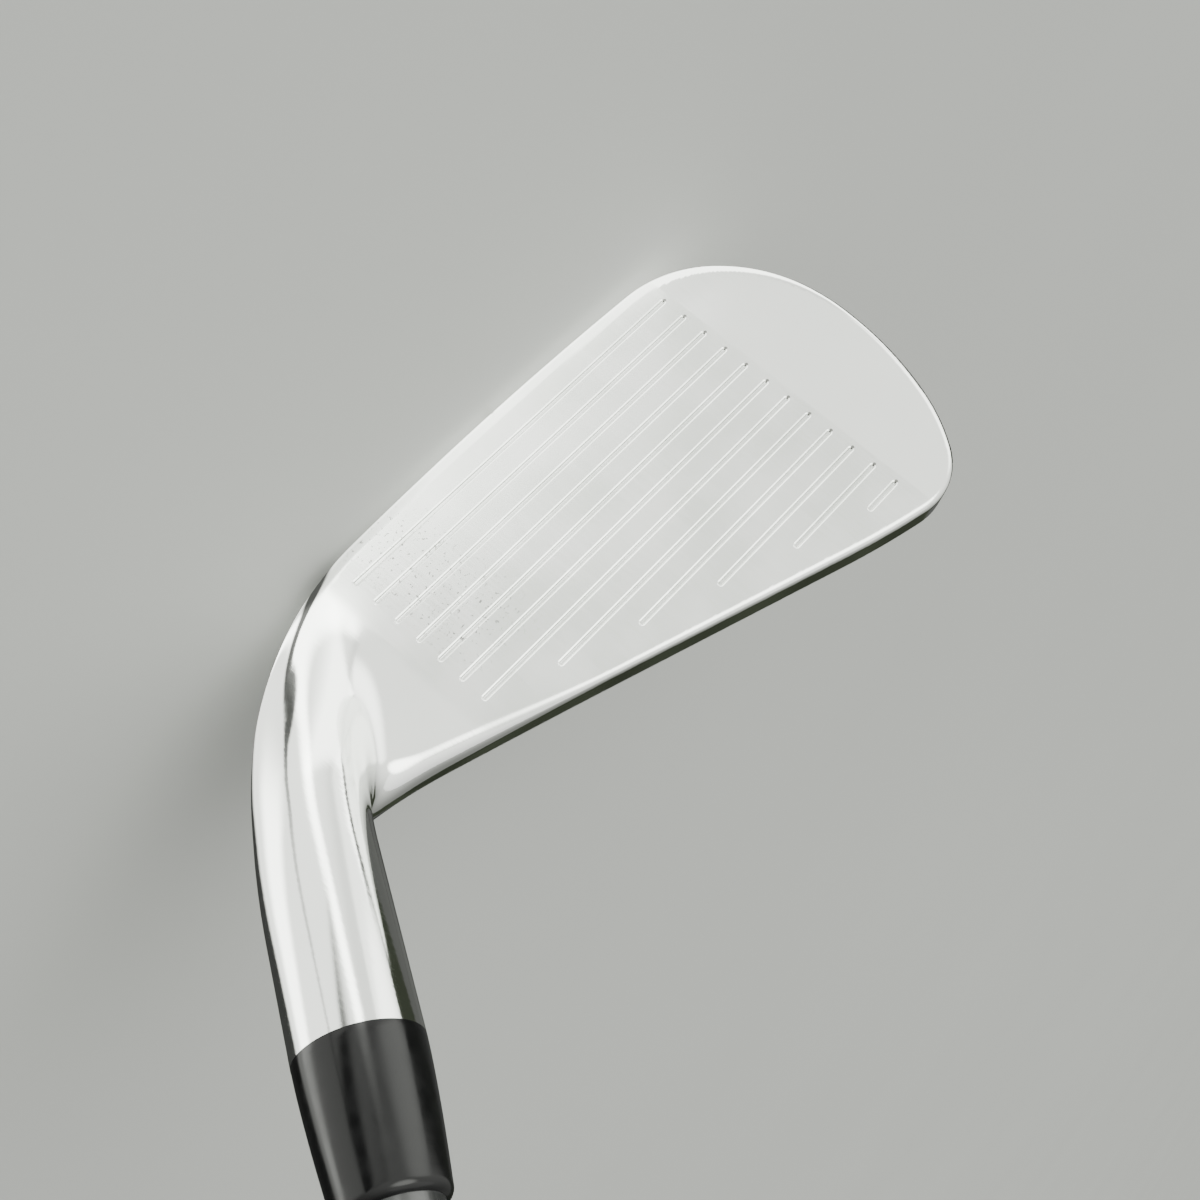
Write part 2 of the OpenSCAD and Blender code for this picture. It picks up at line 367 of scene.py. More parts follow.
def net(values, low, step):
    """A mesh of four-sided faces around the grid's zero level, with one vertex in each crossed cell."""
    inside = values < 0
    cells = [n - 1 for n in values.shape]
    points, number = cell_points(values, inside, cells)
    faces = []
    for axis in range(3):
        a, b = [k for k in range(3) if k != axis]
        start, end = edge_pair(axis, [slice(1, n - 1) for n in values.shape], cells)
        first = inside[start]
        last = inside[end]
        base = np.argwhere(first != last)
        outward = first[first != last]
        base[:, a] += 1
        base[:, b] += 1
        ring = []
        for da, db in ((-1, -1), (0, -1), (0, 0), (-1, 0)):
            at = base.copy()
            at[:, a] += da
            at[:, b] += db
            ring.append(number[at[:, 0], at[:, 1], at[:, 2]])
        quad = np.stack(ring, 1)
        flip = outward if axis != 1 else ~outward
        faces.append(np.where(flip[:, None], quad, quad[:, ::-1]))
    return np.array(low) + step * points, np.concatenate(faces)


def mesh_object(name, points, faces):
    """A smooth-shaded object from points in millimetres."""
    mesh = bpy.data.meshes.new(name)
    mesh.from_pydata((np.asarray(points) * MM).tolist(), [], [list(map(int, face)) for face in faces])
    mesh.validate()
    mesh.polygons.foreach_set("use_smooth", [True] * len(mesh.polygons))
    made = bpy.data.objects.new(name, mesh)
    bpy.context.scene.collection.objects.link(made)
    return made


# ---------------------------------------------------------------- cutting the grooves and the bore
GROOVE_PITCH = 3.5
FULL_GROOVES = 7
GROOVE_COUNT = 12
GROOVE_LENGTH = 55.5
# The grooves above the full ones get shorter, from the first to the last of them
FIRST_SHORT = 46.3
LAST_SHORT = 4.9
# The groove's section from its floor up, as (height over the face, half width)
GROOVE_SECTION = [(-0.33, 0.1), (-0.26, 0.2), (-0.07, 0.28), (0.0, 0.44), (0.3, 1.13)]
GROOVE_END_STEPS = 10
BORE_START = 21.3
BORE_R = 4.85
CHAMFER = 0.3
# How far the tool that squares the hosel's end runs past it, up and out
PAST_END = 2
STEPS = 128
SHARP_ANGLE = 40
# A face that leans this far from the smooth surface belongs to a cut
CUT_COSINE = 0.95


def groove_run(i):
    """Length of groove number i, counted from the leading edge."""
    if i < FULL_GROOVES:
        return GROOVE_LENGTH
    share = (i - FULL_GROOVES) / (GROOVE_COUNT - FULL_GROOVES - 1)
    return FIRST_SHORT + share * (LAST_SHORT - FIRST_SHORT)


def groove_ring(i, height, half):
    """One level of groove number i, in the face's frame."""
    ring = []
    for end, turn in ((0.0, -90), (-groove_run(i), 90)):
        for step in range(GROOVE_END_STEPS + 1):
            angle = math.radians(turn + 180 * step / GROOVE_END_STEPS)
            ring.append((end + half * math.cos(angle), i * GROOVE_PITCH + half * math.sin(angle), height))
    return ring[::-1]


def between(a, b, size):
    """The faces between two rings of points that start at a and b."""
    return [[a + k, a + (k + 1) % size, b + (k + 1) % size, b + k] for k in range(size)]


def stack_faces(rings, size, first=0):
    """Faces of a closed stack of rings, with both ends capped."""
    last = first + (rings - 1) * size
    faces = [[first + k for k in range(size)][::-1]]
    for a in range(first, last, size):
        faces.extend(between(a, a + size, size))
    faces.append([last + k for k in range(size)])
    return faces


def cutters():
    """Everything that is cut out of the head: the grooves and the hosel's bore."""
    points = []
    faces = []
    for i in range(GROOVE_COUNT):
        first = len(points)
        rings = [groove_ring(i, height, half) for height, half in GROOVE_SECTION]
        for ring in rings:
            points.extend((np.array(ring) @ FACE_AXES + FACE_ORIGIN).tolist())
        faces.extend(stack_faces(len(rings), len(rings[0]), first))
    first = len(points)
    # The bore, then the hosel's square end with its chamfer
    levels = [(BORE_START, BORE_R), (HOSEL_END, BORE_R), (HOSEL_END, HOSEL_R - CHAMFER)]
    levels.append((HOSEL_END + PAST_END, HOSEL_R + PAST_END))
    for s, r in levels:
        points.extend(circle(s, r, STEPS))
    faces.extend(stack_faces(len(levels), STEPS, first))
    return mesh_object("head_cutters", points, faces)


# ---------------------------------------------------------------- round pieces on the shaft's axis
def circle(s, r, steps):
    """Points of a circle around the shaft's axis, at distance s up it."""
    angles = np.arange(steps)[:, None] * 2 * np.pi / steps
    return (s * SHAFT_AXIS + r * (np.cos(angles) * HEEL_SIDE + np.sin(angles) * Y_AXIS)).tolist()


def closed_loop(name, points, steps):
    """A ring-shaped solid from rings of points, of which the last joins the first."""
    faces = []
    for a in range(0, len(points), steps):
        faces.extend(between(a, (a + steps) % len(points), steps))
    made = mesh_object(name, points, faces)
    fix_normals(made)
    return made


def turned(name, profile):
    """A solid of revolution from a closed profile of (distance up the axis, radius)."""
    points = []
    for s, r in profile:
        points.extend(circle(s, r, STEPS))
    return closed_loop(name, points, STEPS)


def fix_normals(obj):
    """Makes all faces point outwards, and keeps steep edges sharp."""
    b = bmesh.new()
    b.from_mesh(obj.data)
    bmesh.ops.recalc_face_normals(b, faces=b.faces)
    b.to_mesh(obj.data)
    b.free()
    obj.data.set_sharp_from_angle(angle=math.radians(SHARP_ANGLE))


def arc(centre, radius, first, last, steps):
    """Points of an arc in a profile."""
    out = []
    for i in range(steps + 1):
        angle = math.radians(first + (last - first) * i / steps)
        out.append((centre[0] + radius * math.sin(angle), centre[1] + radius * math.cos(angle)))
    return out


def placed(obj, nodes, material):
    """obj rides on the body, stands for its CAD nodes and gets its material."""
    obj.data.materials.clear()
    obj.data.materials.append(material)
    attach(obj, "root")
    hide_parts(*nodes)


def make_head():
    """The head: its smooth surface, the cut grooves and bore, and exact normals."""
    values, step = head_grid()
    points, faces = net(values, GRID_LOW, step)
    head = mesh_object("head_steel", settle(points), faces)
    tools = cutters()
    cut = head.modifiers.new("cut", "BOOLEAN")
    cut.object = tools
    cut.operation = "DIFFERENCE"
    cut.solver = "MANIFOLD"
    depsgraph = bpy.context.evaluated_depsgraph_get()
    done = bpy.data.meshes.new_from_object(head.evaluated_get(depsgraph))
    head.modifiers.clear()
    head.data = done
    bpy.data.objects.remove(tools)
    set_head_normals(done)
    return head


def unit(vectors):
    """The same directions with length 1."""
    return vectors / np.maximum(np.linalg.norm(vectors, axis=1), 1e-9)[:, None]


def read(items, name, width):
    """A property of all items of a mesh, as an array of one row each."""
    values = np.empty(len(items) * width)
    items.foreach_get(name, values)
    return values.reshape(-1, width)


def set_head_normals(mesh):
    """Exact normals on the smooth surface, and flat ones where it was cut."""
    loops = np.empty(len(mesh.loops), int)
    mesh.loops.foreach_get("vertex_index", loops)
    sizes = np.empty(len(mesh.polygons), int)
    mesh.polygons.foreach_get("loop_total", sizes)
    exact = unit(gradient(read(mesh.vertices, "co", 3) / MM))
    slope = unit(gradient(read(mesh.polygons, "center", 3) / MM))
    flat = np.repeat(read(mesh.polygons, "normal", 3), sizes, 0)
    cut = (np.repeat(slope, sizes, 0) * flat).sum(1) < CUT_COSINE
    chosen = np.where(cut[:, None], flat, exact[loops])
    mesh.polygons.foreach_set("use_smooth", [True] * len(mesh.polygons))
    mesh.normals_split_custom_set(chosen.tolist())


FERRULE_LENGTH = 16.0
FERRULE_END_R = 5.65
FERRULE_FOOT_R = 0.35
FERRULE_LIP_R = 1.1
FERRULE_SIDE = 14.5
FERRULE_POINTS = 20
FERRULE_BARREL = 1.5
TIP_R = 4.7


def make_ferrule():
    """The ferrule: hosel-wide below, a slight barrel shape, and a rounded lip above."""
    foot = HOSEL_END + FERRULE_FOOT_R
    end = HOSEL_END + FERRULE_LENGTH
    profile = [(HOSEL_END, TIP_R)]
    profile += arc((foot, HOSEL_R - FERRULE_FOOT_R), FERRULE_FOOT_R, -90, 0, 6)
    for i in range(1, FERRULE_POINTS):
        share = i / FERRULE_POINTS
        radius = HOSEL_R - (HOSEL_R - FERRULE_END_R) * share ** FERRULE_BARREL
        profile.append((foot + share * FERRULE_SIDE, radius))
    profile += arc((end - FERRULE_LIP_R, FERRULE_END_R - FERRULE_LIP_R), FERRULE_LIP_R, 5, 90, 10)
    profile.append((end, TIP_R))
    return turned("ferrule_plastic", profile)


GRIP_START = 723.0
CAP_START = 985.0
CLUB_END = 990.0
GRIP_ROWS = 520
GRIP_STEPS = 144
GRIP_LOW_R = 9.3
GRIP_HIGH_R = 12.75
GRIP_TAPER = 0.9
MOUTH_LENGTH = 3.0
MOUTH_ROUNDING = 1.6
# The sleeve's inside, from the cap down, as (distance up the axis, radius)
GRIP_INSIDE = [(CAP_START, 7.95), (835.0, 7.95), (GRIP_START, 6.93)]
# Two crossed spirals of shallow grooves leave rows of pads. They fade in and out at both ends.
SPIRALS = 12
SPIRAL_TURN = 0.9
SPIRAL_DEPTH = 0.35
SPIRAL_EDGE = (0.8, 0.97)
FADE_IN = (GRIP_START + 10, GRIP_START + 18)
FADE_OUT = (CAP_START - 22, CAP_START - 14)
# Plain grooves around the sleeve: their places, depth and width
RING_PLACES = (GRIP_START + 8, CAP_START - 12, CAP_START - 9)
RING_DEPTH = 0.4
RING_WIDTH = 0.5


def grip_radius(s):
    """The sleeve's outer radius at each distance up the axis and each angle."""
    share = (s - GRIP_START) / (CAP_START - GRIP_START)
    base = GRIP_LOW_R + (GRIP_HIGH_R - GRIP_LOW_R) * share ** GRIP_TAPER
    mouth = np.clip((s - GRIP_START) / MOUTH_LENGTH, 0, 1)
    base = base - MOUTH_ROUNDING * (1 - np.sqrt(1 - (1 - mouth) ** 2))
    angles = np.arange(GRIP_STEPS) * 2 * np.pi / GRIP_STEPS
    grid_s, grid_a = np.meshgrid(s, angles, indexing="ij")
    fade = smooth(grid_s, *FADE_IN) * (1 - smooth(grid_s, *FADE_OUT))
    right = np.cos(SPIRALS * grid_a + SPIRAL_TURN * (grid_s - GRIP_START))
    left = np.cos(SPIRALS * grid_a - SPIRAL_TURN * (grid_s - GRIP_START))
    groove = np.maximum(smooth(right, *SPIRAL_EDGE), smooth(left, *SPIRAL_EDGE))
    radius = base[:, None] - SPIRAL_DEPTH * groove * fade
    for place in RING_PLACES:
        radius -= RING_DEPTH * np.exp(-((grid_s - place) / RING_WIDTH) ** 2)
    return radius


def make_grip():
    """The rubber sleeve: a rolled mouth, and moulded rows of small raised pads along its length."""
    places = GRIP_START + (CAP_START - GRIP_START) * np.arange(GRIP_ROWS) / (GRIP_ROWS - 1)
    points = []
    for s, radius in zip(places, grip_radius(places)):
        points.extend(circle(s, radius[:, None], GRIP_STEPS))
    for s, r in GRIP_INSIDE:
        points.extend(circle(s, r, GRIP_STEPS))
    return closed_loop("grip_rubber", points, GRIP_STEPS)


CAP_VENT_R = 2.0
CAP_EDGE_R = 0.8
CAP_ROUND_R = 2.0


def make_cap():
    """The grip's end cap: a low dome with a groove around its flat middle, and an open vent."""
    profile = [(CAP_START, CAP_VENT_R), (CAP_START, 12.6)]
    profile += arc((CAP_START + CAP_EDGE_R, 12.8), CAP_EDGE_R, -90, 0, 6)
    profile += arc((CLUB_END - 3.1, 11.5), CAP_ROUND_R, 0, 70, 10)
    # The groove, then the flat middle and the vent's edge
    profile += [(CLUB_END - 0.35, 10.2), (CLUB_END - 0.05, 8.6), (CLUB_END - 0.6, 8.3), (CLUB_END - 0.6, 7.4)]
    profile += [(CLUB_END - 0.02, 7.1), (CLUB_END - 0.02, 2.6), (CLUB_END - 0.3, 2.1)]
    profile.append((CLUB_END - 1.0, CAP_VENT_R))
    return turned("grip_cap_rubber", profile)


# ---------------------------------------------------------------- materials
class Nodes:
    """Small helper that builds one material's node tree."""

    def __init__(self, name):
        self.material = bpy.data.materials.new(name)
        self.material.use_nodes = True
        self.tree = self.material.node_tree
        self.shader = self.tree.nodes["Principled BSDF"]

    def add(self, kind, **values):
        node = self.tree.nodes.new(kind)
        for key, value in values.items():
            setattr(node, key, value)
        return node

    def link(self, source, target):
        self.tree.links.new(source, target)

    def fill(self, socket, value):
        """Puts a number in a socket, or links another node's output to it."""
        if isinstance(value, (int, float)):
            socket.default_value = value
        else:
            self.link(value, socket)

    def math(self, operation, *values):
        """One calculation of numbers or outputs."""
        node = self.add("ShaderNodeMath", operation=operation)
        for i, value in enumerate(values):
            self.fill(node.inputs[i], value)
        return node.outputs[0]

    def times(self, first, *others):
        for value in others:
            first = self.math("MULTIPLY", first, value)
        return first

    def plus(self, first, *others):
        for value in others:
            first = self.math("ADD", first, value)
        return first

    def place(self):
        return self.add("ShaderNodeTexCoord").outputs["Object"]

    def along(self, axis, origin=(0, 0, 0)):
        """Distance in millimetres along an axis from an origin in millimetres."""
        move = self.add("ShaderNodeVectorMath", operation="SUBTRACT")
        self.link(self.place(), move.inputs[0])
        move.inputs[1].default_value = [MM * value for value in origin]
        dot = self.add("ShaderNodeVectorMath", operation="DOT_PRODUCT")
        self.link(move.outputs[0], dot.inputs[0])
        dot.inputs[1].default_value = [value / MM for value in axis]
        return dot.outputs["Value"]

    def ramp(self, value, low, high, out_low=0.0, out_high=1.0):
        """A smooth step from out_low, where the value is low, to out_high, where it is high."""
        node = self.add("ShaderNodeMapRange", interpolation_type="SMOOTHSTEP")
        self.link(value, node.inputs["Value"])
        node.inputs["From Min"].default_value = low
        node.inputs["From Max"].default_value = high
        node.inputs["To Min"].default_value = out_low
        node.inputs["To Max"].default_value = out_high
        return node.outputs["Result"]

    def join(self, x, y, z):
        node = self.add("ShaderNodeCombineXYZ")
        for i, value in enumerate((x, y, z)):
            self.fill(node.inputs[i], value)
        return node.outputs[0]

    def noise(self, vector, scale, detail=2.0, roughness=0.5):
        node = self.add("ShaderNodeTexNoise")
        self.link(vector, node.inputs["Vector"])
        node.inputs["Scale"].default_value = scale
        node.inputs["Detail"].default_value = detail
        node.inputs["Roughness"].default_value = roughness
        return node.outputs["Fac"]

    def mix(self, factor, low, high):
        """A colour between two others, each a constant or an output."""
        node = self.add("ShaderNodeMix", data_type="RGBA")
        self.link(factor, node.inputs["Factor"])
        for name, value in (("A", low), ("B", high)):
            socket = [i for i in node.inputs if i.name == name and i.type == "RGBA"][0]
            if isinstance(value, tuple):
                socket.default_value = (*value, 1)
            else:
                self.link(value, socket)
        return [o for o in node.outputs if o.type == "RGBA"][0]

    def bump(self, height, strength, distance):
        node = self.add("ShaderNodeBump")
        node.inputs["Strength"].default_value = strength
        node.inputs["Distance"].default_value = distance
        self.link(height, node.inputs["Height"])
        self.link(node.outputs[0], self.shader.inputs["Normal"])

    def set(self, **values):
        """Sets the shader's own sockets by name."""
        for key, value in values.items():
            socket = self.shader.inputs[key.replace("_", " ")]
            if isinstance(value, tuple):
                socket.default_value = (*value, 1)
            else:
                self.fill(socket, value)

    def shaft_place(self):
        """Distance along the shaft, and across it in two directions."""
        return self.along(SHAFT_AXIS), self.along(HEEL_SIDE), self.along(Y_AXIS)


# Where the satin area ends: just under the face, beyond the grooves' toe ends and beyond their heel ends
FACE_DEPTH = (-0.5, -0.45)
TOE_LINE = (1.2, 1.5)
HEEL_LINE = (-59.5, -57.5)
# The grooves' tiny dark dots: how far beyond the toe ends, their squared radii, and the rows that have one
DOT_PLACE = 0.42
DOT_SIZE = (0.03, 0.07)
DOT_ROWS_START = (-1, -0.9)
DOT_ROWS_END = (39.4, 39.5)


def worn_specks(n, u, v):
    """Tiny dark marks near the heel ends of the lower grooves."""
    worn = n.times(n.ramp(u, -57, -52), n.ramp(u, -40, -47), n.ramp(v, 22, 14))
    marks = n.noise(n.join(u, v, 0.0), scale=1.9, detail=2, roughness=0.7)
    return n.times(n.ramp(marks, 0.625, 0.65), worn)


def groove_dots(n, u, v):
    """A tiny dark dot at each groove's toe end."""
    turn = n.math("FRACT", n.plus(n.math("DIVIDE", v, GROOVE_PITCH), 0.5))
    row = n.times(n.math("SUBTRACT", turn, 0.5), GROOVE_PITCH)
    beyond = n.math("SUBTRACT", u, DOT_PLACE)
    spot = n.plus(n.times(row, row), n.times(beyond, beyond))
    return n.times(n.ramp(spot, *DOT_SIZE, 1, 0), n.ramp(v, *DOT_ROWS_START), n.ramp(v, *DOT_ROWS_END, 1, 0))


def steel():
    """Plated steel: a satin face between its two end lines, polished elsewhere, with fine polishing lines."""
    n = Nodes("plated_steel")
    u, v, out = [n.along(axis, FACE_ORIGIN) for axis in FACE_AXES]
    on_face = n.ramp(out, *FACE_DEPTH)
    satin = n.times(on_face, n.ramp(u, *TOE_LINE, 1, 0), n.ramp(u, *HEEL_LINE))
    # Cloudy satin, and polishing lines that run up the face
    cloud = n.noise(n.join(u, v, 0.0), scale=0.09, detail=3)
    grain = n.noise(n.join(u, v, out), scale=6.0, detail=2)
    drawn_out = n.join(n.times(u, 3.0), n.times(v, 0.16), out)
    lines = n.noise(drawn_out, scale=1.0, detail=3, roughness=0.6)
    rough = n.plus(0.09, n.times(satin, 0.12))
    rough = n.plus(rough, n.times(n.math("SUBTRACT", cloud, 0.5), 0.06))
    rough = n.plus(rough, n.times(n.math("SUBTRACT", lines, 0.5), 0.1))
    n.set(Metallic=1.0, Roughness=rough)
    polished = n.mix(cloud, (0.80, 0.815, 0.79), (0.87, 0.88, 0.86))
    mottle = n.ramp(n.plus(cloud, n.times(lines, 0.35)), 0.5, 0.85)
    blasted = n.mix(mottle, (0.67, 0.69, 0.66), (0.76, 0.77, 0.75))
    tone = n.mix(satin, polished, blasted)
    tone = n.mix(n.times(worn_specks(n, u, v), on_face), tone, (0.25, 0.25, 0.24))
    n.set(Base_Color=n.mix(n.times(groove_dots(n, u, v), on_face), tone, (0.2, 0.2, 0.19)))
    n.bump(n.plus(n.times(lines, 0.8), n.times(grain, 0.2)), strength=0.18, distance=0.00005)
    return n.material


def gloss_black():
    """Turned black plastic with faint polishing rings."""
    n = Nodes("ferrule_gloss")
    s, e, y = n.shaft_place()
    rings = n.noise(n.join(n.times(s, 9.0), n.times(e, 0.12), n.times(y, 0.12)), scale=1.0, detail=2)
    smear = n.noise(n.join(s, e, y), scale=0.5, detail=3)
    n.set(Base_Color=n.mix(smear, (0.003, 0.003, 0.0032), (0.007, 0.007, 0.0075)))
    n.set(Roughness=n.ramp(smear, 0.3, 0.7, 0.13, 0.22), Metallic=0.0, Specular_IOR_Level=0.28)
    n.bump(rings, strength=0.1, distance=0.00004)
    return n.material


def composite():
    """Dark lacquered composite with fine fibres along the shaft."""
    n = Nodes("shaft_lacquer")
    s, e, y = n.shaft_place()
    drawn_out = n.join(n.times(s, 0.12), n.times(e, 4.0), n.times(y, 4.0))
    fibres = n.noise(drawn_out, scale=1.0, detail=3, roughness=0.6)
    n.set(Base_Color=n.mix(n.ramp(fibres, 0.3, 0.7), (0.014, 0.0145, 0.015), (0.02, 0.0205, 0.021)))
    n.set(Roughness=n.ramp(fibres, 0.3, 0.7, 0.3, 0.36), Metallic=0.0, Coat_Weight=0.4, Coat_Roughness=0.14)
    n.bump(fibres, strength=0.03, distance=0.00004)
    return n.material


def rubber(name, low, high):
    """Matte moulded rubber with a fine pebbled skin."""
    n = Nodes(name)
    at = n.join(*n.shaft_place())
    pebble = n.noise(at, scale=3.2, detail=3, roughness=0.6)
    patch = n.noise(at, scale=0.06, detail=3)
    n.set(Base_Color=n.mix(patch, low, high), Roughness=n.ramp(pebble, 0.3, 0.7, 0.58, 0.8))
    n.set(Metallic=0.0, Specular_IOR_Level=0.22)
    n.bump(pebble, strength=0.35, distance=0.0002)
    return n.material


def plain_inner(name, low, high, roughness, scale, metallic=0.0):
    """The hidden pieces: glue, brass and tape, each with its own grain."""
    n = Nodes(name)
    grain = n.noise(n.join(*n.shaft_place()), scale, detail=3, roughness=0.6)
    n.set(Base_Color=n.mix(grain, low, high), Metallic=metallic)
    n.set(Roughness=n.ramp(grain, 0.3, 0.7, roughness - 0.1, roughness + 0.1))
    n.bump(grain, strength=0.2, distance=0.0001)
    return n.material


def floor_material():
    """A pale, slightly mottled paper floor."""
    n = Nodes("floor_paper")
    mottle = n.noise(n.place(), scale=9.0, detail=4)
    n.set(Base_Color=n.mix(mottle, (0.33, 0.335, 0.325), (0.355, 0.36, 0.35)))
    n.set(Roughness=n.ramp(mottle, 0.3, 0.7, 0.75, 0.9), Specular_IOR_Level=0.0)
    return n.material


# ---------------------------------------------------------------- the object
def dress(node, material):
    """Gives a CAD node that stays its material."""
    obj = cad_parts[node]
    obj.data.materials.clear()
    obj.data.materials.append(material)


grip_skin = rubber("grip_skin", (0.012, 0.012, 0.0125), (0.02, 0.02, 0.021))
cap_skin = rubber("cap_skin", (0.01, 0.01, 0.0105), (0.017, 0.017, 0.018))
placed(make_head(), ["iron_head"], steel())
placed(make_ferrule(), ["ferrule"], gloss_black())
placed(make_grip(), ["grip_sleeve"], grip_skin)
placed(make_cap(), ["grip_cap"], cap_skin)
dress("shaft", composite())
glue = plain_inner("epoxy_glue", (0.55, 0.42, 0.2), (0.7, 0.58, 0.34), roughness=0.4, scale=1.2)
brass = plain_inner(
    "brass_weight", (0.72, 0.52, 0.2), (0.82, 0.63, 0.3), roughness=0.32, scale=2.5, metallic=1.0,
)
tape = plain_inner("tape_paper", (0.74, 0.68, 0.55), (0.85, 0.8, 0.68), roughness=0.8, scale=4.0)
dress("hosel_bond", glue)
dress("tip_weight", brass)
dress("grip_tape", tape)


# ---------------------------------------------------------------- floor, light and camera
FLOOR_HALF = 14.0
FLOOR_DROP = -0.0002
# Cards, in metres: the floor card's half width, the standing cards' distance and height, and where one starts
CARD_FAR = 8.0
CARD_BACK = 0.8
CARD_HEIGHT = 0.3
CARD_SIDE_START = 0.1
CARD_DROP = -0.0001
SKY_COLOUR = (0.93, 0.95, 0.90, 1)
CARD_COLOUR = (0.94, 0.96, 0.91)
DARK_CARD_COLOUR = (0.86, 1.0, 0.68)
DARK_CARD_LEVELS = (0.04, 0.07)
# The floor card's levels: what it gives off on its stripe and beside it, and what is added near the club
STRIPE_LEVEL = 8.0
PLAIN_LEVEL = 2.7
TOE_LEVEL = 1.3
NEAR_LEVEL = 3.2
BESIDE_LEVEL = 4.0
# What is left of these levels: in the seam close to the club and far from it, and behind the club
SEAM_SHARE = 0.05
SEAM_FAR_SHARE = 0.5
BEHIND_SHARE = 0.022


def sheet(name, points, material):
    """A flat sheet with four corners that belongs to the stage."""
    mesh = bpy.data.meshes.new(name)
    mesh.from_pydata(points, [], [(0, 1, 2, 3)])
    mesh.materials.append(material)
    obj = bpy.data.objects.new(name, mesh)
    bpy.context.scene.collection.objects.link(obj)
    return obj


def level_square(half, z):
    """The corners of a level square, seen from above."""
    return [(-half, -half, z), (half, -half, z), (half, half, z), (-half, half, z)]


def add_floor():
    """One large flat sheet under the sole, and a little below it."""
    floor = sheet("floor", level_square(FLOOR_HALF, 0), floor_material())
    floor.location.z = FLOOR_DROP


def add_light(name, place, target, size, power):
    """A square soft light that points at a target."""
    lamp = bpy.data.lights.new(name, "AREA")
    lamp.shape = "SQUARE"
    lamp.size = size
    lamp.energy = power
    obj = bpy.data.objects.new(name, lamp)
    obj.location = place
    aim = Vector(target) - Vector(place)
    obj.rotation_euler = aim.to_track_quat("-Z", "Y").to_euler()
    bpy.context.scene.collection.objects.link(obj)


# Each soft light in the sky: direction, the cosines where it starts and is full, and its two strengths
WORLD_LIGHTS = [
    ((-0.6, -0.75, 0.28), -0.6, 0.95, 0.3, 2.3),
    ((-0.93, -0.3, 0.15), 0.86, 1.0, 0.0, 2.8),
    ((-0.2, -0.6, 0.77), 0.9, 0.99, 0.0, 5.5),
]


def add_world():
    """Soft light from the whole sky: brightest high in front of the face, weakest behind the club."""
    world = bpy.data.worlds.new("studio")
    bpy.context.scene.world = world
    world.use_nodes = True
    tree = world.node_tree
    background = tree.nodes["Background"]
    background.inputs["Color"].default_value = SKY_COLOUR
    place = tree.nodes.new("ShaderNodeTexCoord")
    total = None
    for direction, low, high, faint, bright in WORLD_LIGHTS:
        dot = tree.nodes.new("ShaderNodeVectorMath")
        dot.operation = "DOT_PRODUCT"
        dot.inputs[1].default_value = Vector(direction).normalized()
        tree.links.new(place.outputs["Generated"], dot.inputs[0])
        ramp = tree.nodes.new("ShaderNodeMapRange")
        ramp.interpolation_type = "SMOOTHSTEP"
        ramp.inputs["From Min"].default_value = low
        ramp.inputs["From Max"].default_value = high
        ramp.inputs["To Min"].default_value = faint
        ramp.inputs["To Max"].default_value = bright
        tree.links.new(dot.outputs["Value"], ramp.inputs["Value"])
        level = tree.nodes.new("ShaderNodeMath")
        level.operation = "ADD"
        level.inputs[1].default_value = 0
        tree.links.new(ramp.outputs["Result"], level.inputs[0])
        if total:
            tree.links.new(total, level.inputs[1])
        total = level.outputs[0]
    tree.links.new(total, background.inputs["Strength"])


def card(name, points, material):
    """A flat studio card that only glossy surfaces see."""
    obj = sheet(name, points, material)
    obj.visible_camera = False
    obj.visible_diffuse = False
    obj.visible_shadow = False
    obj.visible_transmission = False


def glow(name, colour):
    """A material that only sends out light, of one colour."""
    n = Nodes(name)
    n.set(Base_Color=(0.0, 0.0, 0.0), Emission_Color=colour, Roughness=1.0, Specular_IOR_Level=0.0)
    return n


def card_seam(n, front, across):
    """Dark along a seam from the heel, and beyond it a dark patch that mostly the ferrule mirrors."""
    seam = n.ramp(n.math("ABSOLUTE", across), 1.4, 3.2)
    seam = n.math("MAXIMUM", seam, n.ramp(front, 12, 50, SEAM_SHARE, SEAM_FAR_SHARE))
    left = n.ramp(across, -115, -50, 1.0, SEAM_SHARE)
    right = n.ramp(across, 4, 16, SEAM_SHARE, 1.0)
    return seam, n.math("MAXIMUM", n.math("MAXIMUM", left, right), n.ramp(front, 98, 116, 1.0, 0.0))


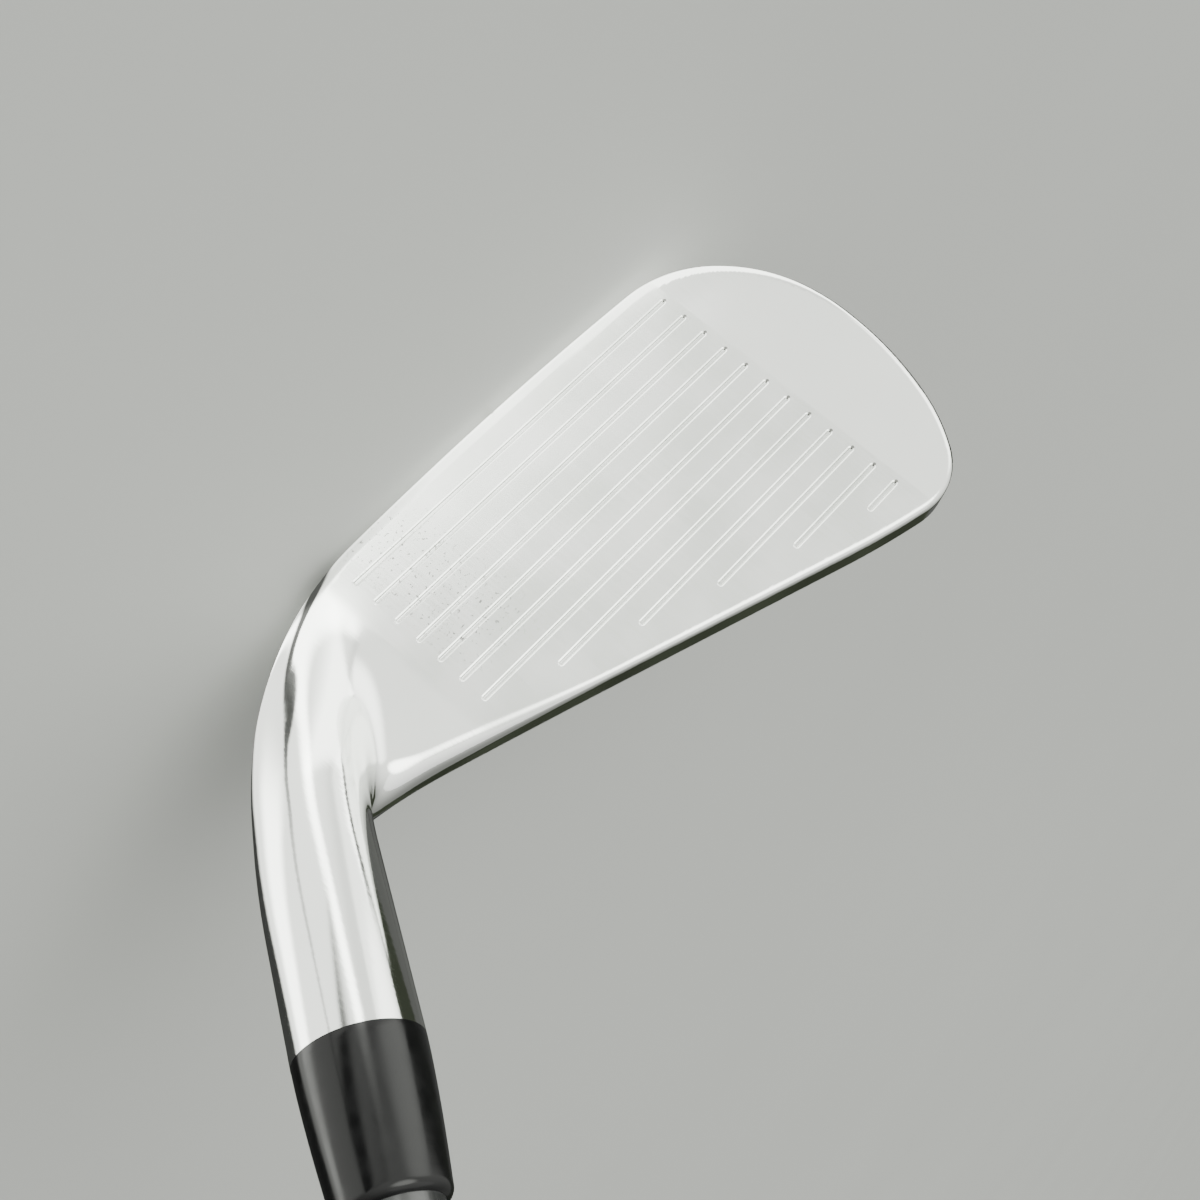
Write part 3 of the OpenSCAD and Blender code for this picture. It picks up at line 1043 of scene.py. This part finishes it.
def floor_card_material():
    """Bright on the face's side, with a dark seam and a bright stripe from the heel; dark behind the club."""
    n = glow("floor_card", CARD_COLOUR)
    x = n.along((1, 0, 0))
    y = n.along(Y_AXIS)
    front = n.math("MAXIMUM", n.times(y, -1.0), 0.0)
    stripe_width = n.plus(n.times(front, 0.18), 2.0)
    stripe = n.math("DIVIDE", n.math("ABSOLUTE", n.along((0.88, -0.47, 0))), stripe_width)
    level = n.times(n.ramp(stripe, 0.2, 1.2, STRIPE_LEVEL, PLAIN_LEVEL), n.ramp(x, -260, -60, 0.72, 1.0))
    # Weaker far in front of the face, stronger beyond the toe
    toeward = n.along((-0.6, 0.8, 0))
    level = n.times(level, n.ramp(toeward, -500, -120, 0.6, 1.0))
    level = n.plus(level, n.ramp(toeward, 60, 160, 0.0, TOE_LEVEL))
    level = n.times(level, *card_seam(n, front, n.along((0.83, 0.56, 0), (-6, -3, 0))))
    # Close in front of the leading edge, and beside the heel
    near = n.times(n.ramp(x, -36, -8, 1, 0), n.ramp(y, -75, -40))
    beside = n.ramp(n.math("ABSOLUTE", n.along(Y_AXIS, (0, -15, 0))), 5, 16, 1, 0)
    beside = n.times(beside, n.ramp(x, 5, 30))
    level = n.plus(level, n.times(near, NEAR_LEVEL), n.times(beside, BESIDE_LEVEL))
    n.set(Emission_Strength=n.times(level, n.ramp(y, 5, 13, 1.0, BEHIND_SHARE)))
    return n.material


def dark_card_material():
    """A nearly black card with a faint green tint."""
    n = glow("dark_card", DARK_CARD_COLOUR)
    n.set(Emission_Strength=n.ramp(n.noise(n.along((1, 0, 0)), scale=0.01), 0.3, 0.7, *DARK_CARD_LEVELS))
    return n.material


def add_cards():
    """A card on the floor, and two dark ones that stand behind the club."""
    back = CARD_BACK
    z = CARD_DROP
    up = CARD_HEIGHT
    start = CARD_SIDE_START
    card("floor_card", level_square(CARD_FAR, z), floor_card_material())
    dark = dark_card_material()
    card("back_card", [(-back, back, z), (back, back, z), (back, back, up), (-back, back, up)], dark)
    card("side_card", [(-back, start, z), (-back, back, z), (-back, back, up), (-back, start, up)], dark)


# The camera's place in millimetres, its lens, and the picture's right, down and depth as directions
CAMERA_PLACE = (32.063, -136.032, 118.509)
CAMERA_RIGHT = (-0.66648, 0.18025, 0.72340)
CAMERA_DOWN = (0.66429, 0.58403, 0.46650)
CAMERA_FORWARD = (-0.33840, 0.79147, -0.50899)
FOCAL_LENGTH = 45.24
SENSOR_WIDTH = 36
CLIP_START = 0.005
CLIP_END = 50

OVERHEAD_PLACE = (0.1, 0, 1.4)
OVERHEAD_TARGET = (0, 0, 0)
OVERHEAD_SIZE = 1.2
OVERHEAD_POWER = 3


def add_camera():
    """Looks down over the shaft's side at the face, rolled so that the shaft runs out at the bottom."""
    data = bpy.data.cameras.new("camera")
    data.sensor_width = SENSOR_WIDTH
    data.lens = FOCAL_LENGTH
    data.clip_start = CLIP_START
    data.clip_end = CLIP_END
    camera = bpy.data.objects.new("camera", data)
    right = Vector(CAMERA_RIGHT)
    up = -Vector(CAMERA_DOWN)
    back = -Vector(CAMERA_FORWARD)
    turn = Matrix((right, up, back)).transposed()
    camera.matrix_world = Matrix.Translation(Vector(CAMERA_PLACE) * MM) @ turn.to_4x4()
    bpy.context.scene.collection.objects.link(camera)
    bpy.context.scene.camera = camera


add_floor()
add_world()
add_cards()
add_light("overhead", OVERHEAD_PLACE, OVERHEAD_TARGET, OVERHEAD_SIZE, OVERHEAD_POWER)
add_camera()
